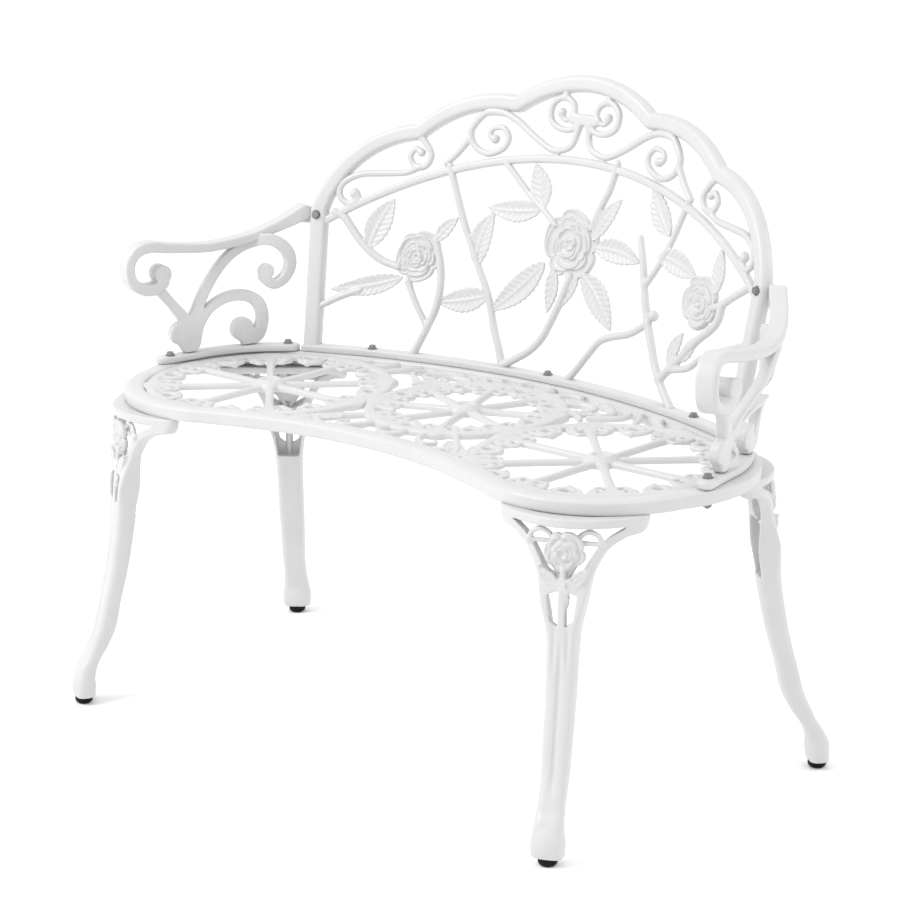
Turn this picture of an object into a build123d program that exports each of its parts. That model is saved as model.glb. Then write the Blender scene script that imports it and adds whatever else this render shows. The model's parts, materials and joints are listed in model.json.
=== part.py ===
from build123d import *
import os
from math import cos, radians, sin, sqrt, tan

# A cast metal garden bench for two: kidney-shaped openwork seat, bowed and leaning rose back,
# two scroll arms, four cabriole legs with levelling glides, and the bolts that hold them together.
# Right is +X, the back is +Y and up is +Z. The origin is on the floor, in the middle of the footprint.
# Plan positions below are measured from the line of the back rail's bolts, which is rail_y behind the origin.

rail_y = 203.3  # back rail's middle bolt behind the origin

# Seat casting
seat_top = 425.0
rim_height = 19.0
rim_width = 26.0
lattice_top = 423.0
lattice_thickness = 9.0
medallion_x, medallion_y = 290.0, -240.0
side_ring_radius = 168.0
middle_ring_y = -165.0
middle_ring_radius = 134.0
ring_width = 14.0
hub_radius = 17.0
spoke_width = 10.0
eyelet_radius = 12.0
eyelet_wall = 5.0
tie_width = 9.0

# Back casting: a plate bowed to a cylinder and leaning back, on a flat rail
bow_radius = 889.0
lean = 12.63  # degrees
strip_thickness = 10.0
strip_top = seat_top + strip_thickness
rail_front, rail_back = -9.0, 10.0
rail_half_length = 379.0
rim_front, rim_back = -6.5, 10.5  # depth of the lobed rim, before and behind the bolt line
work_front, work_back = -4.0, 5.0  # depth of scrolls, stems and leaves
back_rim_width = 23.0
arch_width = 11.0
apex_z = 830.0
cusp_1 = (117.0, 794.0)
cusp_2 = (264.0, 745.0)
shoulder = (395.0, 621.0)
post_foot = (378.0, 405.0)
work_bottom = 430.0
back_reach = 160.0

# Arms: upright scroll plates on curved strips
arm_heading = 72.5  # degrees between the arm's plane and the X axis, seen from above
arm_line = (444.7, -130.9)  # a point of the right arm's middle plane
arm_web = 14.0
arm_rail_width = 22.0
arm_bow_way = (0.727, 0.687)  # the way the right arm bulges, in plan
scroll_lean = 0.2  # how much the scrolls lean that way, for each millimetre of height
arm_strip_width = 22.0
ear_height = 24.0
ear_thickness = 6.0
post_bolt_x, post_bolt_z = 385.0, 613.0

# Legs
front_foot = (414.0, -485.0)
rear_foot = (470.0, -20.0)
front_facing = -65.5  # degrees from +X, for the right legs
rear_facing = 50.0
leg_bottom = 10.3
flange_bottom = 396.0
flange_top = seat_top - rim_height
flange_half_width = 92.0
flange_behind_bolts = 17.0
leg_bolt_spacing = 110.0
front_bolt_setback = 101.0  # from the foot's axis, inward
rear_bolt_setback = 118.0
rear_lean = 8.5  # how much further inward a rear leg reaches at the top than a front one
tapped_depth = 14.0
skin_front, skin_back = 62.0, 71.0  # the bracket ornament, inward from the foot's axis
leg_rose = (0.0, 367.0)

# Levelling glides
glide_radius = 12.0
glide_height = 10.0
glide_rounding = 6.0
stud_radius = 4.0
stud_clearance = 0.05
stud_length = 24.0
stud_room = 10.0  # empty depth above the stud

# Fasteners, M6
shank_radius = 3.0
hole_radius = 3.3
head_radius = 5.2
head_height = 4.0
washer_radius = 6.6
washer_thickness = 1.2
nut_flats = 10.0
nut_height = 5.0
thread_past_nut = 2.0

rail_bolt_x = (-283.0, 0.0, 283.0)
arm_front_bolt = (468.0, -259.0)
arm_rear_bolt = (397.0, -99.0)

lean_slope = tan(radians(lean))
elevation = Plane(origin=(0, rail_y, 0), x_dir=(1, 0, 0), z_dir=(0, -1, 0))
sides = {"left": -1, "right": 1}


def level(z):
    """The horizontal plane at height z, centred on the back rail's middle bolt."""
    return Plane(origin=(0, rail_y, z))


def bow(x):
    """How far the back curves forward at x."""
    return bow_radius - sqrt(bow_radius**2 - x**2)


def write(builder, name):
    """Labels a finished piece and writes its STEP file."""
    builder.part.label = name
    export_step(builder.part, f"parts/{name}.step")


os.makedirs("parts", exist_ok=True)

# --- Where things are bolted ------------------------------------------------------------------


def leg_axes(side, front):
    """A leg's foot in plan and its inward and sideways directions."""
    foot = front_foot if front else rear_foot
    facing = radians(front_facing if front else rear_facing)
    inward = Vector(-side * cos(facing), -sin(facing), 0)
    across = Vector(inward.Y, -inward.X, 0)
    return Vector(side * foot[0], rail_y + foot[1], 0), inward, across


def leg_bolt_points(side, front):
    """The two bolts of one leg, at the underside of its flange."""
    foot, inward, across = leg_axes(side, front)
    middle = foot + inward * (front_bolt_setback if front else rear_bolt_setback)
    half = across * (leg_bolt_spacing / 2)
    return [middle - half + Vector(0, 0, flange_bottom), middle + half + Vector(0, 0, flange_bottom)]


def arm_bolt_points(side, z):
    """The front and rear bolts of one arm's strip at height z."""
    return [Vector(side * x, rail_y + y, z) for x, y in (arm_front_bolt, arm_rear_bolt)]


def rail_bolt_points(z):
    """The three bolts of the back's rail at height z."""
    return [Vector(x, rail_y - bow(x), z) for x in rail_bolt_x]


def post_plane(side):
    """The plane across a post at its bolt, on the bolt line, facing backwards."""
    x, z = side * post_bolt_x, post_bolt_z
    y = rail_y - bow(x) + lean_slope * (z - strip_top)
    normal = Vector(x / sqrt(bow_radius**2 - x**2), 1, -lean_slope).normalized()
    return Plane(origin=(x, y, z), x_dir=(side * normal.Y, -side * normal.X, 0), z_dir=normal)


post_front = -5.5  # flat seats for the bolt's washer and the arm's ear, from the bolt line
post_back = 9.0

# --- Seat -------------------------------------------------------------------------------------


def seat_outline():
    """Draws the seat's kidney outline on the current line, from front middle to back middle and mirrored."""
    ThreePointArc((0, -358), (100, -366), (190, -390))
    Line((190, -390), (262, -417))
    ThreePointArc((262, -417), (378, -413), (470, -305))
    ThreePointArc((470, -305), (485, -215), (414, -91))
    ThreePointArc((414, -91), (213, -14), (0, 12))
    mirror(about=Plane.YZ)


def medallion(radius, first_spoke):
    """Draws a ring, hub and eight spokes with an eyelet between each pair."""
    Circle(radius)
    Circle(radius - ring_width, mode=Mode.SUBTRACT)
    Circle(hub_radius)
    reach = radius - ring_width / 2
    with PolarLocations(reach / 2, 8, first_spoke):
        Rectangle(reach, spoke_width)
    with PolarLocations(radius - ring_width - eyelet_radius + 3, 8, first_spoke + 22.5):
        Circle(eyelet_radius)
        Circle(eyelet_radius - eyelet_wall, mode=Mode.SUBTRACT)


ties = [  # bars and leaves that join the rings to the rim: x, y, length, angle
    (0, -316, 44, 90),
    (46, -314, 60, 62),
    (92, -322, 96, 38),
    (128, -352, 70, -20),
    (0, -20, 26, 90),
    (70, -34, 34, 72),
    (112, -56, 76, 40),
    (148, -40, 56, 100),
    (196, -58, 70, 60),
    (300, -62, 34, 90),
    (366, -96, 40, 62),
]

with BuildPart() as seat:
    with BuildSketch(level(lattice_top - lattice_thickness)):
        with Locations((-medallion_x, medallion_y), (medallion_x, medallion_y)):
            medallion(side_ring_radius, 0)
        with Locations((0, middle_ring_y)):
            medallion(middle_ring_radius, 22.5)
        for x, y, length, angle in ties:
            for side in ((-1, 1) if x else (1,)):
                with Locations(Location((side * x, y, 0), (0, 0, side * angle))):
                    SlotOverall(length, tie_width)
    extrude(amount=lattice_thickness)
    with BuildSketch(level(flange_top)):
        with BuildLine():
            seat_outline()
        make_face()
        offset(amount=-rim_width, kind=Kind.ARC, mode=Mode.SUBTRACT)
    extrude(amount=rim_height)
    with Locations(*rail_bolt_points(seat_top)):
        Hole(hole_radius)
    for side in sides.values():
        with Locations(*arm_bolt_points(side, seat_top)):
            Hole(hole_radius)
        for front in (True, False):
            with BuildSketch(Plane.XY.offset(flange_top)):
                with Locations(*leg_bolt_points(side, front)):
                    Circle(shank_radius + stud_clearance)
            extrude(amount=tapped_depth, mode=Mode.SUBTRACT)
write(seat, "seat")

# --- Legs -------------------------------------------------------------------------------------

web_top = flange_bottom + 4  # the bracket runs up into the flange
leg_front_line = [(-13, leg_bottom), (-11, 35), (9, 80), (32, 143), (51, 250), (58, 350), (64, web_top)]
leg_back_line = [(114, web_top), (104, 370), (90, 310), (78, 250), (55, 143), (35, 80), (15, 42)]
leg_back_line.append((13, leg_bottom))
leg_side_line = [(20, leg_bottom), (21, 32), (16.5, 95), (18.5, 190), (19.5, 255), (29, 320)]
leg_side_line += [(42, 357), (92, 392)]
leg_window = [(0, 332), (24, 341), (31, 356), (42, 374), (58, 386), (66, 391), (78, web_top), (0, web_top)]


def leg_width_outline():
    """Draws the leg's silhouette as it is seen from outside."""
    Line((0, leg_bottom), leg_side_line[0])
    Spline(*leg_side_line)
    Polyline(leg_side_line[-1], (flange_half_width, web_top), (0, web_top))
    mirror(about=Plane.YZ)


def lean_in(line, front):
    """Tilts the points of a leg's side profile: a rear leg reaches further inward at the top."""
    lean = 0 if front else rear_lean
    return [(depth + lean * (z - leg_bottom) / (flange_top - leg_bottom), z) for depth, z in line]


def bracket_skin(foot, inward, across, middle):
    """The ornament in a leg's bracket: rose, arches, tie bars, leaf and stem on a thin upright skin."""
    with BuildPart() as skin:
        with BuildSketch(Plane(origin=foot, x_dir=inward, z_dir=across)):
            with Locations((middle, web_top - 40)):
                Rectangle(skin_back - skin_front, 80)
        extrude(amount=60, both=True)
        with BuildSketch(Plane(origin=foot, x_dir=across, z_dir=-inward)):
            with Locations(leg_rose):
                Circle(26)
            with Locations((-24, 389), (24, 389)):
                Circle(12)
                Circle(7, mode=Mode.SUBTRACT)
            with Locations((-38, 377), (38, 377)):
                Rectangle(28, 5)
            with BuildLine():
                Polyline((0, 344), (0, 326), (-30, 340))
                Polyline((0, 326), (30, 340))
            trace(line_width=7)
        extrude(amount=150, both=True, mode=Mode.INTERSECT)
    return skin


def make_leg(side, front):
    """One leg: a curved tapering shaft under a flared openwork bracket with a bolting flange."""
    foot, inward, across = leg_axes(side, front)
    setback = front_bolt_setback if front else rear_bolt_setback
    back_edge = setback + flange_behind_bolts
    face = Plane(origin=foot, x_dir=across, z_dir=-inward)
    plan = Plane(origin=foot, x_dir=across, z_dir=(0, 0, 1))
    lean = 0 if front else rear_lean
    skin = bracket_skin(foot, inward, across, (skin_front + skin_back) / 2 + lean)
    with BuildPart() as leg:
        with BuildSketch(Plane(origin=foot, x_dir=inward, z_dir=across)):
            with BuildLine():
                outer = Spline(*lean_in(leg_front_line, front))
                inner = Spline(*lean_in(leg_back_line, front))
                Line(outer @ 1, inner @ 0)
                Line(inner @ 1, outer @ 0)
            make_face()
        extrude(amount=100, both=True)
        with BuildSketch(face):
            with BuildLine():
                leg_width_outline()
            make_face()
            with BuildLine():
                Polyline(*leg_window)
                mirror(about=Plane.YZ)
            make_face(mode=Mode.SUBTRACT)
            for k in (-1, 1):
                with BuildLine():
                    Polyline((k * 5, 322), (k * 19, 316), (k * 13, 282), (k * 5, 276), close=True)
                make_face(mode=Mode.SUBTRACT)
        extrude(amount=150, both=True, mode=Mode.INTERSECT)
        with BuildSketch(plan):
            with BuildLine():
                Polyline((-25, 65 + lean), (-25, -20), (25, -20), (25, 65 + lean))
                ThreePointArc((25, 65 + lean), (62, 80 + lean), (92, 104 + lean))
                Polyline((92, 104 + lean), (92, 140), (-92, 140), (-92, 104 + lean))
                ThreePointArc((-92, 104 + lean), (-62, 80 + lean), (-25, 65 + lean))
            make_face()
        extrude(amount=flange_top, mode=Mode.INTERSECT)
        add(skin.part)
        holes = leg_bolt_points(side, front)
        if not front:
            holes.append(arm_bolt_points(side, flange_bottom)[1])
        with BuildSketch(plan.offset(flange_bottom)):
            with BuildLine():
                ThreePointArc((-90, 102 + lean), (0, 60 + lean), (90, 102 + lean))
                Polyline((90, 102 + lean), (90, setback + 4), (68, back_edge), (-68, back_edge))
                Polyline((-68, back_edge), (-90, setback + 4), (-90, 102 + lean))
            make_face()
            with Locations(*[plan.offset(flange_bottom).to_local_coords(hole) for hole in holes]):
                Circle(hole_radius, mode=Mode.SUBTRACT)
        extrude(amount=flange_top - flange_bottom)
        with BuildSketch(plan.offset(leg_bottom)):
            Circle(stud_radius + stud_clearance)
        extrude(amount=glide_height + stud_length + stud_room - leg_bottom, mode=Mode.SUBTRACT)
    return leg


for hand, side in sides.items():
    for end, front in (("front", True), ("rear", False)):
        write(make_leg(side, front), f"leg_{end}_{hand}")

# --- Levelling glides -------------------------------------------------------------------------

for hand, side in sides.items():
    for end, front in (("front", True), ("rear", False)):
        foot = leg_axes(side, front)[0]
        with BuildPart() as pad:
            with Locations(foot):
                Cylinder(glide_radius, glide_height, align=(Align.CENTER, Align.CENTER, Align.MIN))
            fillet(pad.edges().group_by(Axis.Z)[0], glide_rounding)
        write(pad, f"glide_pad_{end}_{hand}")
        with BuildPart() as stud:
            with Locations(foot + Vector(0, 0, glide_height)):
                Cylinder(stud_radius, stud_length, align=(Align.CENTER, Align.CENTER, Align.MIN))
            chamfer(stud.edges().group_by(Axis.Z)[-1], 0.8)
        write(stud, f"glide_stud_{end}_{hand}")

# --- Back -------------------------------------------------------------------------------------

# Scrolls of the crest, right-hand side; the left mirrors them: width, then the points along each.
crest_scrolls = [
    (9, [(8, 764), (16, 738), (50, 728), (82, 743), (116, 764), (156, 768)]),
    (9, [(160, 768), (181, 742), (150, 714), (122, 734), (142, 748), (152, 736)]),
    (9, [(183, 724), (212, 694)]),
    (9, [(262, 734), (244, 716), (238, 697), (255, 687), (268, 700), (256, 712)]),
    (9, [(255, 686), (300, 675), (338, 671), (358, 654), (344, 634)]),
]
# Stems, right across the back.
stems = [
    (10, [(-362, 616), (-338, 600), (-305, 567), (-262, 550)]),
    (9, [(-368, 486), (-340, 502), (-312, 514)]),
    (10, [(-212, 590), (-196, 540), (-205, 475), (-221, 432)]),
    (9, [(-245, 535), (-230, 505), (-208, 472)]),
    (9, [(-206, 696), (-168, 610), (-118, 525), (-80, 432)]),
    (9, [(-120, 706), (-84, 674), (-50, 652), (-24, 630)]),
    (9, [(40, 636), (56, 672), (68, 724)]),
    (10, [(12, 565), (-8, 505), (-35, 463), (-78, 434)]),
    (9, [(34, 432), (65, 472), (100, 500), (165, 528)]),
    (10, [(128, 636), (159, 545), (190, 482), (234, 432)]),
    (9, [(210, 692), (186, 632), (154, 580)]),
    (9, [(290, 572), (325, 592), (362, 614)]),
    (10, [(306, 578), (290, 545), (240, 500), (200, 462)]),
    (9, [(220, 480), (280, 508), (366, 542)]),
]
# Leaves: base, tip and width.
leaves = [
    ((-306, 572), (-282, 640), 36),
    ((-212, 590), (-183, 622), 18),
    ((-255, 538), (-350, 514), 28),
    ((-118, 524), (-194, 508), 34),
    ((-146, 562), (-130, 635), 34),
    ((-50, 648), (-137, 642), 30),
    ((-48, 650), (-72, 704), 34),
    ((46, 622), (84, 676), 22),
    ((48, 610), (132, 602), 30),
    ((-34, 578), (-112, 506), 34),
    ((-16, 574), (-18, 516), 22),
    ((28, 568), (0, 522), 20),
    ((34, 574), (97, 510), 38),
    ((186, 644), (140, 700), 34),
    ((168, 616), (240, 602), 32),
    ((288, 588), (288, 645), 26),
    ((216, 486), (235, 530), 18),
    ((238, 494), (262, 530), 16),
]
roses = [(-236, 566, 34), (6, 607, 46), (260, 572, 34), (174, 541, 9)]  # x, z, radius


def back_outline():
    """Draws the lobed outline of the back, posts included, running down below the rail."""
    ThreePointArc((0, apex_z), (60, 821), cusp_1)
    ThreePointArc(cusp_1, (196, 785), cusp_2)
    ThreePointArc(cusp_2, (350, 704), shoulder)
    Polyline(shoulder, post_foot, (0, post_foot[1]))
    mirror(about=Plane.YZ)


def bowed_slab(front, back):
    """The space between two depths of the bowed and leaning back, in plan and swept upwards."""
    start = post_foot[1]
    with BuildPart() as slab:
        with BuildSketch(Plane(origin=(0, rail_y + lean_slope * (start - strip_top), start))):
            with Locations((0, -bow_radius)):
                Circle(bow_radius + back)
                Circle(bow_radius + front, mode=Mode.SUBTRACT)
            with Locations((0, -back_reach / 2)):
                Rectangle(2 * shoulder[0] + 20, back_reach + 2 * rim_back, mode=Mode.INTERSECT)
        extrude(amount=(apex_z - start + 20) / cos(radians(lean)), dir=(0, lean_slope, 1))
    return slab


def scroll(points, width):
    """Draws a band of even width along a smooth line through the points."""
    with BuildLine(Plane.XY, mode=Mode.PRIVATE):
        path = Spline(*points) if len(points) > 2 else Line(*points)
    steps = 4 * (len(points) - 1)
    edges = []
    for half in (-width / 2, width / 2):
        along = [path @ (i / steps) + (path % (i / steps)).rotate(Axis.Z, 90) * half for i in range(steps + 1)]
        edges.append(along)
    with BuildLine(Plane.XY) as band:
        Spline(*edges[0])
        Line(edges[0][-1], edges[1][-1])
        Spline(*reversed(edges[1]))
        Line(edges[1][0], edges[0][0])
    make_face(band.edges())


rim_slab = bowed_slab(rim_front, rim_back)
work_slab = bowed_slab(work_front, work_back)

with BuildPart() as rim:
    with BuildSketch(elevation):
        with BuildLine():
            back_outline()
        make_face()
        offset(amount=-back_rim_width, kind=Kind.INTERSECTION, mode=Mode.SUBTRACT)
        with Locations((0, work_bottom - 50)):
            Rectangle(900, 100, mode=Mode.SUBTRACT)
    extrude(amount=2 * back_reach, both=True)
    add(rim_slab.part, mode=Mode.INTERSECT)

with BuildPart() as work:
    with BuildSketch(elevation):
        with BuildLine():
            ThreePointArc((-372, 607), (0, 717), (372, 607))
        trace(line_width=arch_width)
        for side in (-1, 1):
            for width, points in crest_scrolls:
                scroll([(side * x, z) for x, z in points], width)
            with Locations((side * 37, 777)):
                Circle(20)
                Circle(11, mode=Mode.SUBTRACT)
            with Locations((side * 37, 802)):
                Rectangle(10, 12)
        with Locations((0, 770)):
            Rectangle(40, 14)
        for width, points in stems:
            scroll(points, width)
        for base, tip, width in leaves:
            with BuildLine():
                middle = (Vector(*base) + Vector(*tip)) / 2
                sideways = (Vector(*tip) - Vector(*base)).normalized().rotate(Axis.Z, 90) * (width / 2)
                ThreePointArc(base, middle + sideways, tip)
                ThreePointArc(tip, middle - sideways, base)
            make_face()
        for x, z, radius in roses:
            with Locations((x, z)):
                Circle(radius)
    extrude(amount=2 * back_reach, both=True)
    add(work_slab.part, mode=Mode.INTERSECT)

with BuildPart() as back:
    add(rim.part)
    add(work.part)
    with BuildSketch(level(seat_top)):
        with Locations((0, -bow_radius)):
            Circle(bow_radius + rail_back)
            Circle(bow_radius + rail_front, mode=Mode.SUBTRACT)
        with Locations((0, -back_reach / 2)):
            Rectangle(2 * rail_half_length, back_reach + 2 * rail_back, mode=Mode.INTERSECT)
    extrude(amount=strip_thickness)
    with Locations(*rail_bolt_points(strip_top)):
        Hole(hole_radius, depth=strip_thickness)
        # Room for the washer and head where the work leans over the rail.
        Cylinder(washer_radius + 0.6, 12, align=(Align.CENTER, Align.CENTER, Align.MIN), mode=Mode.SUBTRACT)
    for side in sides.values():
        across_post = post_plane(side)
        with BuildSketch(across_post.offset(post_back)):
            Rectangle(2 * back_rim_width, ear_height + 4)
        extrude(amount=10, mode=Mode.SUBTRACT)
        with BuildSketch(across_post.offset(post_front)):
            Circle(washer_radius + 0.6)
        extrude(amount=-10, mode=Mode.SUBTRACT)
        with BuildSketch(across_post.offset(-20)):
            Circle(hole_radius)
        extrude(amount=40, mode=Mode.SUBTRACT)
write(back, "back")

# --- Arms -------------------------------------------------------------------------------------

# In the arm's plane: distance behind the arm's middle point, then height.
arm_top_line = [(-154, 589), (-113, 580), (-51, 575), (10, 581), (47, 592), (68, 603), (88, 613)]
arm_curl_line = [(-154, 589), (-174, 582), (-182, 564), (-180, 546), (-168, 532), (-150, 528), (-132, 534)]
arm_strut_line = [(-140, 528), (-97, 476)]
arm_upper_scroll = [(-96, 466), (-76, 506), (-46, 540), (-16, 562), (12, 574), (38, 575)]
arm_upper_scroll += [(58, 563), (62, 543), (53, 524), (36, 518), (24, 526)]
arm_lower_scroll = [(-86, 466), (-64, 488), (-34, 501), (-8, 501), (12, 489), (19, 468), (11, 447), (-6, 440)]
arm_base_line = [(-88, 484), (-98, 464), (-100, 436)]
arm_lobes = [(29, 535, 11), (-14, 454, 17), (-112, 458, 15)]  # along, height, radius
arm_end_lobe = (-134, 549, 13)
# Along the arm, then how far out it bulges: the rail, and the scrolls at the height of the strip
rail_bow = [(-190, 0), (-160, 0), (-110, 12), (-60, 21), (-20, 22), (20, 16), (55, 6), (84, -5), (110, -14)]
scroll_bow = [(-150, -8), (-90, -13), (-40, -10), (0, -9), (25, -16), (50, -30), (90, -38)]
arm_strip_line = [(472, -268), (466, -236), (456, -186), (432, -137), (392, -96)]


arm_room = 100.0  # more than any part of an arm lies beside its plane, or half its height


def bowed_line(side, bulges):
    """The plan positions of a line along one arm that bulges out by the given amounts."""
    turn = radians(arm_heading)
    line = []
    for along, bulge in bulges:
        x = arm_line[0] - cos(turn) * along + arm_bow_way[0] * bulge
        line.append((side * x, arm_line[1] + sin(turn) * along + arm_bow_way[1] * bulge))
    return line


def make_arm(side):
    """One arm: a top rail that curls at the front, two scrolls below it and a strip bolted to the seat."""
    turn = radians(arm_heading)
    plane = Plane(
        origin=(side * arm_line[0], rail_y + arm_line[1], 0),
        x_dir=(-side * cos(turn), sin(turn), 0),
        z_dir=(sin(turn), side * cos(turn), 0),
    )
    with BuildPart() as rail:
        with BuildSketch(plane):
            scroll(arm_top_line, 13)
            scroll(arm_curl_line, 13)
            with Locations(arm_end_lobe[:2]):
                Circle(arm_end_lobe[2])
        extrude(amount=arm_room, both=True)
        with BuildSketch(level(seat_top)):
            scroll(bowed_line(side, rail_bow), arm_rail_width)
        extrude(amount=2 * arm_room, mode=Mode.INTERSECT)
    with BuildPart() as scrolls:
        with BuildSketch(plane):
            scroll(arm_strut_line, 14)
            scroll(arm_upper_scroll, 14)
            scroll(arm_lower_scroll, 14)
            scroll(arm_base_line, 28)
            with Locations((8, 578)):
                Rectangle(36, 14)
            for along, height, radius in arm_lobes:
                with Locations((along, height)):
                    Circle(radius)
        extrude(amount=arm_room, both=True)
        with BuildSketch(level(seat_top)):
            scroll(bowed_line(side, scroll_bow), arm_web)
        leaning = (side * scroll_lean * arm_bow_way[0], scroll_lean * arm_bow_way[1], 1)
        extrude(amount=2 * arm_room, dir=leaning, mode=Mode.INTERSECT)
    with BuildPart() as arm:
        add(rail.part)
        add(scrolls.part)
        with BuildSketch(level(seat_top)):
            scroll([(side * x, y) for x, y in arm_strip_line], arm_strip_width)
            with Locations(*[(side * x, y) for x, y in (arm_strip_line[0], arm_strip_line[-1])]):
                Circle(arm_strip_width / 2)
        extrude(amount=strip_thickness)
        with BuildSketch(Plane(origin=(0, 0, seat_top))):
            Rectangle(1200, 1200)
        extrude(amount=-40, mode=Mode.SUBTRACT)
        # The ear that reaches behind the post.
        ear = post_plane(side).offset(post_back)
        with BuildSketch(ear):
            with Locations((13, 0)):
                Rectangle(50, ear_height)
        extrude(amount=ear_thickness)
        with BuildSketch(ear.offset(-5)):
            Circle(hole_radius)
        extrude(amount=20, mode=Mode.SUBTRACT)
        with Locations(*arm_bolt_points(side, strip_top)):
            Cylinder(washer_radius + 0.8, 80, align=(Align.CENTER, Align.CENTER, Align.MIN), mode=Mode.SUBTRACT)
            Hole(hole_radius, depth=strip_thickness)
    return arm


for hand, side in sides.items():
    write(make_arm(side), f"arm_{hand}")

# --- Fasteners --------------------------------------------------------------------------------


def make_bolts(places, length):
    """Bolts with low round heads; each place is the plane under a head, facing out of it."""
    with BuildPart() as bolts:
        for place in places:
            with BuildSketch(place):
                Circle(shank_radius)
            extrude(amount=-length)
            with BuildSketch(place):
                Circle(head_radius)
            extrude(amount=head_height, taper=12)
    return bolts


def make_washers(places):
    """Washers; each place is the plane a washer lies on, facing away from the joint."""
    with BuildPart() as washers:
        for place in places:
            with BuildSketch(place):
                Circle(washer_radius)
                Circle(hole_radius, mode=Mode.SUBTRACT)
            extrude(amount=washer_thickness)
    return washers


def make_nuts(places):
    """Hexagon nuts; each place is the plane a nut lies on, facing away from the joint."""
    with BuildPart() as nuts:
        for place in places:
            with BuildSketch(place):
                RegularPolygon(nut_flats / 2, 6, major_radius=False)
                Circle(shank_radius + stud_clearance, mode=Mode.SUBTRACT)
            extrude(amount=nut_height)
    return nuts


def write_through_bolts(name, tops, bottoms):
    """A group of bolts with a washer under each head and a washer and nut at each far side."""
    grip = (tops[0].origin - bottoms[0].origin).length
    length = grip + 2 * washer_thickness + nut_height + thread_past_nut
    write(make_bolts([top.offset(washer_thickness) for top in tops], length), f"{name}_bolts")
    write(make_washers(tops + bottoms), f"{name}_washers")
    write(make_nuts([bottom.offset(washer_thickness) for bottom in bottoms]), f"{name}_nuts")


def facing_up(points):
    """Planes at the points, facing up."""
    return [Plane(origin=point) for point in points]


def facing_down(points):
    """Planes at the points, facing down."""
    return [Plane(origin=point, z_dir=(0, 0, -1)) for point in points]


write_through_bolts("rail", facing_up(rail_bolt_points(strip_top)), facing_down(rail_bolt_points(flange_top)))
for hand, side in sides.items():
    for index, end, underside in ((0, "front", flange_top), (1, "rear", flange_bottom)):
        top = arm_bolt_points(side, strip_top)[index]
        bottom = arm_bolt_points(side, underside)[index]
        write_through_bolts(f"arm_{end}_{hand}", facing_up([top]), facing_down([bottom]))
    across_post = post_plane(side)
    head_side = Plane(origin=across_post.offset(post_front).origin, z_dir=-across_post.z_dir)
    nut_side = across_post.offset(post_back + ear_thickness)
    write_through_bolts(f"post_{hand}", [head_side], [nut_side])
    for end, front in (("front", True), ("rear", False)):
        under_flange = facing_down(leg_bolt_points(side, front))
        length = flange_top - flange_bottom + tapped_depth - 2 + washer_thickness
        heads = [place.offset(washer_thickness) for place in under_flange]
        write(make_bolts(heads, length), f"leg_bolts_{end}_{hand}")
        write(make_washers(under_flange), f"leg_washers_{end}_{hand}")
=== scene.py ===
import json
from itertools import product
from math import cos, hypot, pi, radians, sin, sqrt, tan

import bpy
import numpy as np
from mathutils import Matrix, Vector


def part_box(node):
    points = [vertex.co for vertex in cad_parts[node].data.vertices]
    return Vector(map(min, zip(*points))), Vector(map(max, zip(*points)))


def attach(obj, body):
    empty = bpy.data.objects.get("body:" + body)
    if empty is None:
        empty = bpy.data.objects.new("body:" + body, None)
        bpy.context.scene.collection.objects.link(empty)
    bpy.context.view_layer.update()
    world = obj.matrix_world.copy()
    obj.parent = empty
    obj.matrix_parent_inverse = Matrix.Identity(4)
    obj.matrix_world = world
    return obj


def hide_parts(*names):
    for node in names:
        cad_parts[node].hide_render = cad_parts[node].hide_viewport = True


# A white cast garden bench. Each casting is worked out as a field of distances over a block of
# points, in millimetres in its own flat or straight frame, turned into a closed mesh, and bent
# into its place on the bench. Blender objects are in metres, in the CAD model's frame.

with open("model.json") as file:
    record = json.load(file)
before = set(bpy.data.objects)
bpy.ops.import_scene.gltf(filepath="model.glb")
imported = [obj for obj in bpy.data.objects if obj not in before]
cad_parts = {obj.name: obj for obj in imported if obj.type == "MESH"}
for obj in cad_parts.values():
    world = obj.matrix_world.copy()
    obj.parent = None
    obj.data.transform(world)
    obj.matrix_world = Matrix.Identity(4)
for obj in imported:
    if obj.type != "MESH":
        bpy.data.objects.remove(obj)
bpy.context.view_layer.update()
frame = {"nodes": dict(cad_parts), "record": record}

MM = 0.001
COARSENESS = 1.0

WASHER_RADIUS = 6.6
STRIP_THICKNESS = 10.0

# Places read from the CAD model, in millimetres
rail_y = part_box("rail_washers")[1][1] / MM - WASHER_RADIUS
seat_bottom, seat_top = (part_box("seat")[end][2] / MM for end in (0, 1))
strip_top = seat_top + STRIP_THICKNESS

# The back is a plate bowed to a cylinder and leaning backwards.
BOW_RADIUS = 889.0
LEAN_SLOPE = tan(radians(12.63))


# --- Fields -----------------------------------------------------------------------------------


def smooth_max(a, b, blend):
    """The larger of two fields, with a fillet of about blend where they are close."""
    if blend <= 0:
        return np.maximum(a, b)
    near = np.maximum(blend - np.abs(a - b), 0)
    return np.maximum(a, b) + near * near / (4 * blend)


def smooth_min(a, b, blend):
    """The smaller of two fields, with a rounded edge where they are close."""
    return -smooth_max(-a, -b, blend)


def curve(points, step=4.0):
    """Closely spaced points on a smooth line through rows of (u, v, anything else)."""
    rows = np.array(points, float)
    if len(rows) == 2:
        return rows
    rows = np.vstack([2 * rows[0] - rows[1], rows, 2 * rows[-1] - rows[-2]])
    line = []
    for a, b, c, d in zip(rows, rows[1:], rows[2:], rows[3:]):
        count = max(2, int(hypot(*(c - b)[:2]) / step))
        t = np.linspace(0, 1, count, endpoint=False)[:, None]
        line.append(
            0.5 * (
                2 * b + (c - a) * t + (2 * a - 5 * b + 4 * c - d) * t**2 + (3 * b - a - 3 * c + d) * t**3
            )
        )
    return np.vstack(line + [rows[-2:-1]])


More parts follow.
